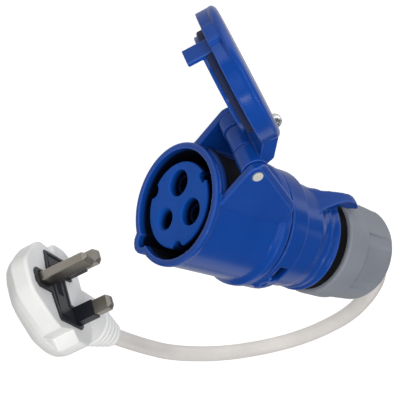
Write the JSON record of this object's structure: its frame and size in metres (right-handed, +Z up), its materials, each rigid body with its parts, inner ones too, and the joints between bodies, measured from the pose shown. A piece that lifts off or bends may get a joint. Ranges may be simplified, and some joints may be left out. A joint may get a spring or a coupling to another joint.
{
  "type": "power adapter cable",
  "caption": "Short adapter lead with a blue hinged-lid industrial coupler, a grey gland nut, a pale grey cable and a white flat-pin mains plug with a moulded strain relief.",
  "frame": {"origin": "centre of the coupler's mouth in the plane of its rim", "axes": "+X rearward along the coupler axis, +Y towards the lid hinge, +Z up"},
  "size_m": [0.2041, 0.1977, 0.0547],
  "materials": {
    "blue_shell": "satin moulded polyamide",
    "blue_insert": "satin moulded polyamide",
    "contact_brass": "turned brass",
    "plain_steel": "plated steel",
    "black_rubber": "matt rubber",
    "grey_nut": "satin moulded polyamide",
    "grey_rubber": "matt rubber",
    "core_brown": "soft vinyl",
    "core_blue": "soft vinyl",
    "core_green": "soft vinyl",
    "cable_jacket": "soft satin vinyl",
    "white_body": "satin moulded vinyl",
    "dark_insert": "satin thermoset",
    "pin_brass": "nickel-plated brass",
    "sleeve_black": "satin moulded sleeve",
    "fuse_ceramic": "glazed ceramic"
  },
  "bodies": {
    "base": {"socket_housing": "blue_shell", "contact_carrier": "blue_insert", "live_contact": "contact_brass", "neutral_contact": "contact_brass", "earth_contact": "contact_brass", "terminal_screws": "plain_steel", "rear_housing": "blue_shell", "gland_seal": "black_rubber", "cable_grommet": "black_rubber", "gland_nut": "grey_nut", "hinge_pin": "plain_steel", "lid_spring": "plain_steel", "live_core": "core_brown", "neutral_core": "core_blue", "earth_core": "core_green", "cable": "cable_jacket", "plug_body": "white_body", "pin_carrier": "dark_insert", "earth_pin": "pin_brass", "live_pin": "pin_brass", "neutral_pin": "pin_brass", "live_sleeve": "sleeve_black", "neutral_sleeve": "sleeve_black", "fuse_carrier": "dark_insert", "fuse": "fuse_ceramic", "fuse_clips": "contact_brass"},
    "lid_body": {"lid": "blue_shell", "lid_gasket": "grey_rubber", "lid_rivet": "plain_steel"}
  },
  "joints": [
    {"name": "lid_hinge", "type": "hinge", "parent": "base", "child": "lid_body", "pos_m": [0.0076, 0.0373, 0], "axis": [0, 0, 1], "range_deg": [0, 120.5]}
  ]
}
